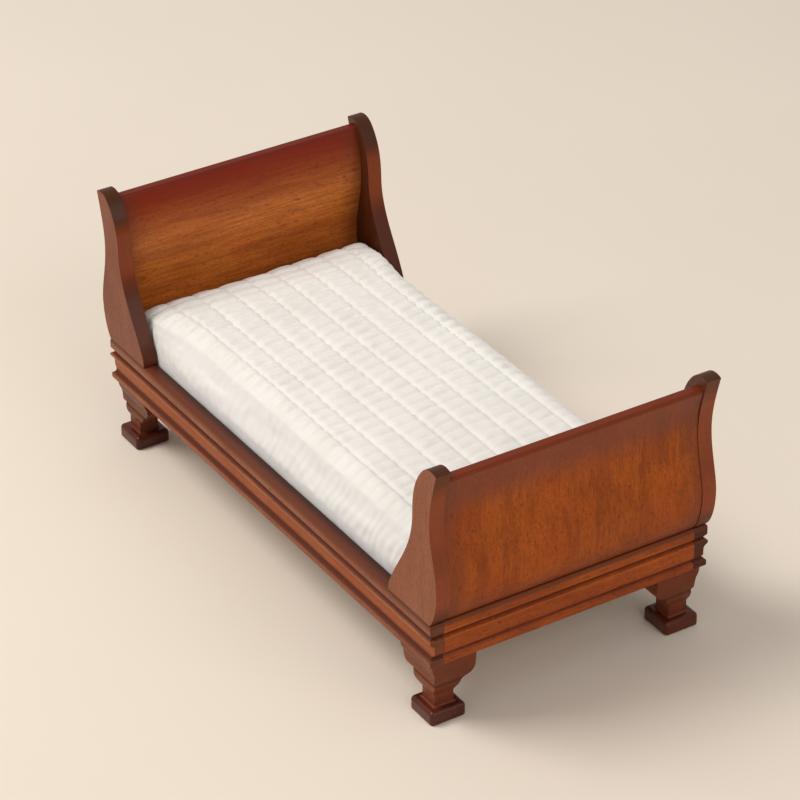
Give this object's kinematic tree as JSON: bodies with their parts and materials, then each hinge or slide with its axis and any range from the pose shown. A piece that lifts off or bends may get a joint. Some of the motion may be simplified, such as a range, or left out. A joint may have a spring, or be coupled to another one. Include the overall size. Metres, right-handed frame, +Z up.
{
  "type": "miniature sleigh bed",
  "caption": "Dolls' house single sleigh bed: moulded base frame on bracket feet, scroll posts with curved end panels, slats and a loose quilted mattress.",
  "frame": {"origin": "on the floor, at the centre of the bed's footprint", "axes": "+X across the bed to the right as seen from the foot end, +Y along the bed from the foot end to the head end, +Z up"},
  "size_m": [0.09, 0.1818, 0.0823],
  "materials": {
    "stained_wood": "satin lacquer over reddish brown stain",
    "dark_wood": "satin lacquer over very dark brown stain",
    "plain_wood": "sanded, unfinished",
    "quilted_cotton": "woven cotton, quilted and puckered"
  },
  "bodies": {
    "frame": {"side_rail_left": "stained_wood", "side_rail_right": "stained_wood", "foot_rail": "stained_wood", "head_rail": "stained_wood", "foot_post_left": "stained_wood", "foot_post_right": "stained_wood", "head_post_left": "stained_wood", "head_post_right": "stained_wood", "foot_panel": "stained_wood", "head_panel": "stained_wood", "foot_block_front_left": "stained_wood", "foot_block_front_right": "stained_wood", "foot_block_back_left": "stained_wood", "foot_block_back_right": "stained_wood", "foot_pad_front_left": "dark_wood", "foot_pad_front_right": "dark_wood", "foot_pad_back_left": "dark_wood", "foot_pad_back_right": "dark_wood", "ledger_left": "plain_wood", "ledger_right": "plain_wood", "slat_1": "plain_wood", "slat_2": "plain_wood", "slat_3": "plain_wood", "slat_4": "plain_wood", "slat_5": "plain_wood", "slat_6": "plain_wood", "slat_7": "plain_wood", "post_dowels": "plain_wood", "foot_dowels": "plain_wood"},
    "mattress": {"mattress": "quilted_cotton"}
  },
  "joints": [
    {"name": "mattress_lift", "type": "slide", "parent": "frame", "child": "mattress", "axis": [0, 0, 1], "range_m": [0, 0.06]}
  ]
}
